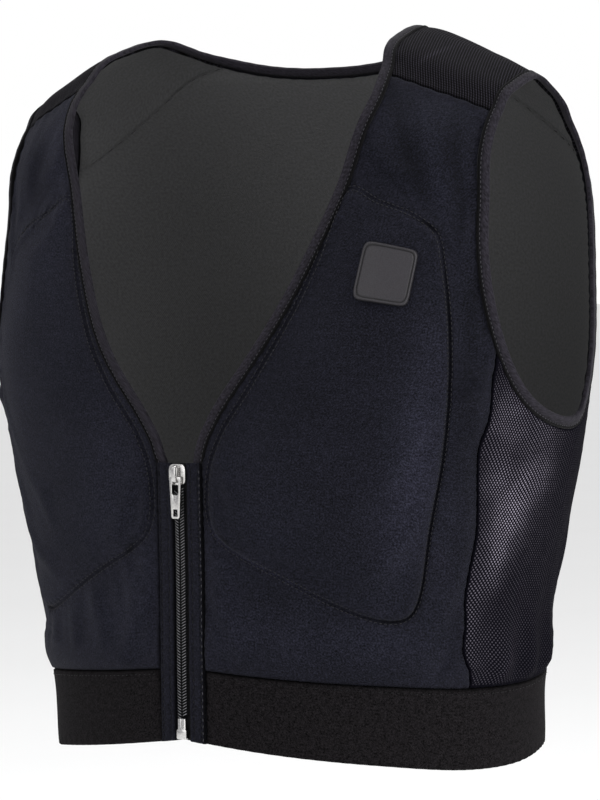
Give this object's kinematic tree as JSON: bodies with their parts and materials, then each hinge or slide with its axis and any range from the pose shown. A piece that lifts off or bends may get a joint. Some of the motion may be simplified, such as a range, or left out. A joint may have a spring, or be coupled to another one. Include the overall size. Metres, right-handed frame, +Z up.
{
  "type": "equestrian body protector vest",
  "caption": "Cropped sleeveless riding vest with a deep V neck, front zip, padded chest panels, mesh sides and an elastic hem band, shaped as worn.",
  "frame": {"origin": "midway between the shoulders, at the height where the yokes sit on them", "axes": "+Z up, -Y out of the chest, +X to the wearer's left"},
  "size_m": [0.3592, 0.2302, 0.4012],
  "materials": {
    "navy_fabric": "dark navy stretch knit over foam, matt with a soft sheen",
    "rib_fabric": "black fine ribbed mesh, matt",
    "mesh_fabric": "black spacer mesh with small round holes",
    "foam": "dark grey lined foam pad",
    "elastic": "black woven elastic with fine cross ribs",
    "binding": "charcoal folded elastic binding, matt",
    "tape": "black woven zip tape",
    "coil": "dark polyester coil with a dull metallic shine",
    "nickel": "nickel plate with soft reflections",
    "rubber": "dark grey soft rubber, satin"
  },
  "bodies": {
    "vest": {"armhole_binding_left": "binding", "armhole_binding_right": "binding", "back_panel": "navy_fabric", "badge": "rubber", "chest_pad_left": "foam", "chest_pad_right": "foam", "front_panel_left": "navy_fabric", "front_panel_right": "navy_fabric", "hem_band": "elastic", "neck_binding": "binding", "shoulder_yoke_left": "rib_fabric", "shoulder_yoke_right": "rib_fabric", "side_mesh_left": "mesh_fabric", "side_mesh_right": "mesh_fabric", "zip_box": "nickel", "zip_chain": "coil", "zip_facing_left": "navy_fabric", "zip_facing_right": "navy_fabric", "zip_slider": "nickel", "zip_tape_left": "tape", "zip_tape_right": "tape"},
    "pull": {"zip_pull": "nickel"}
  },
  "joints": [
    {"name": "pull_swing", "type": "hinge", "parent": "vest", "child": "pull", "pos_m": [0, -0.11393, -0.233], "axis": [-1, 0, 0], "range_deg": [0, 160]}
  ]
}
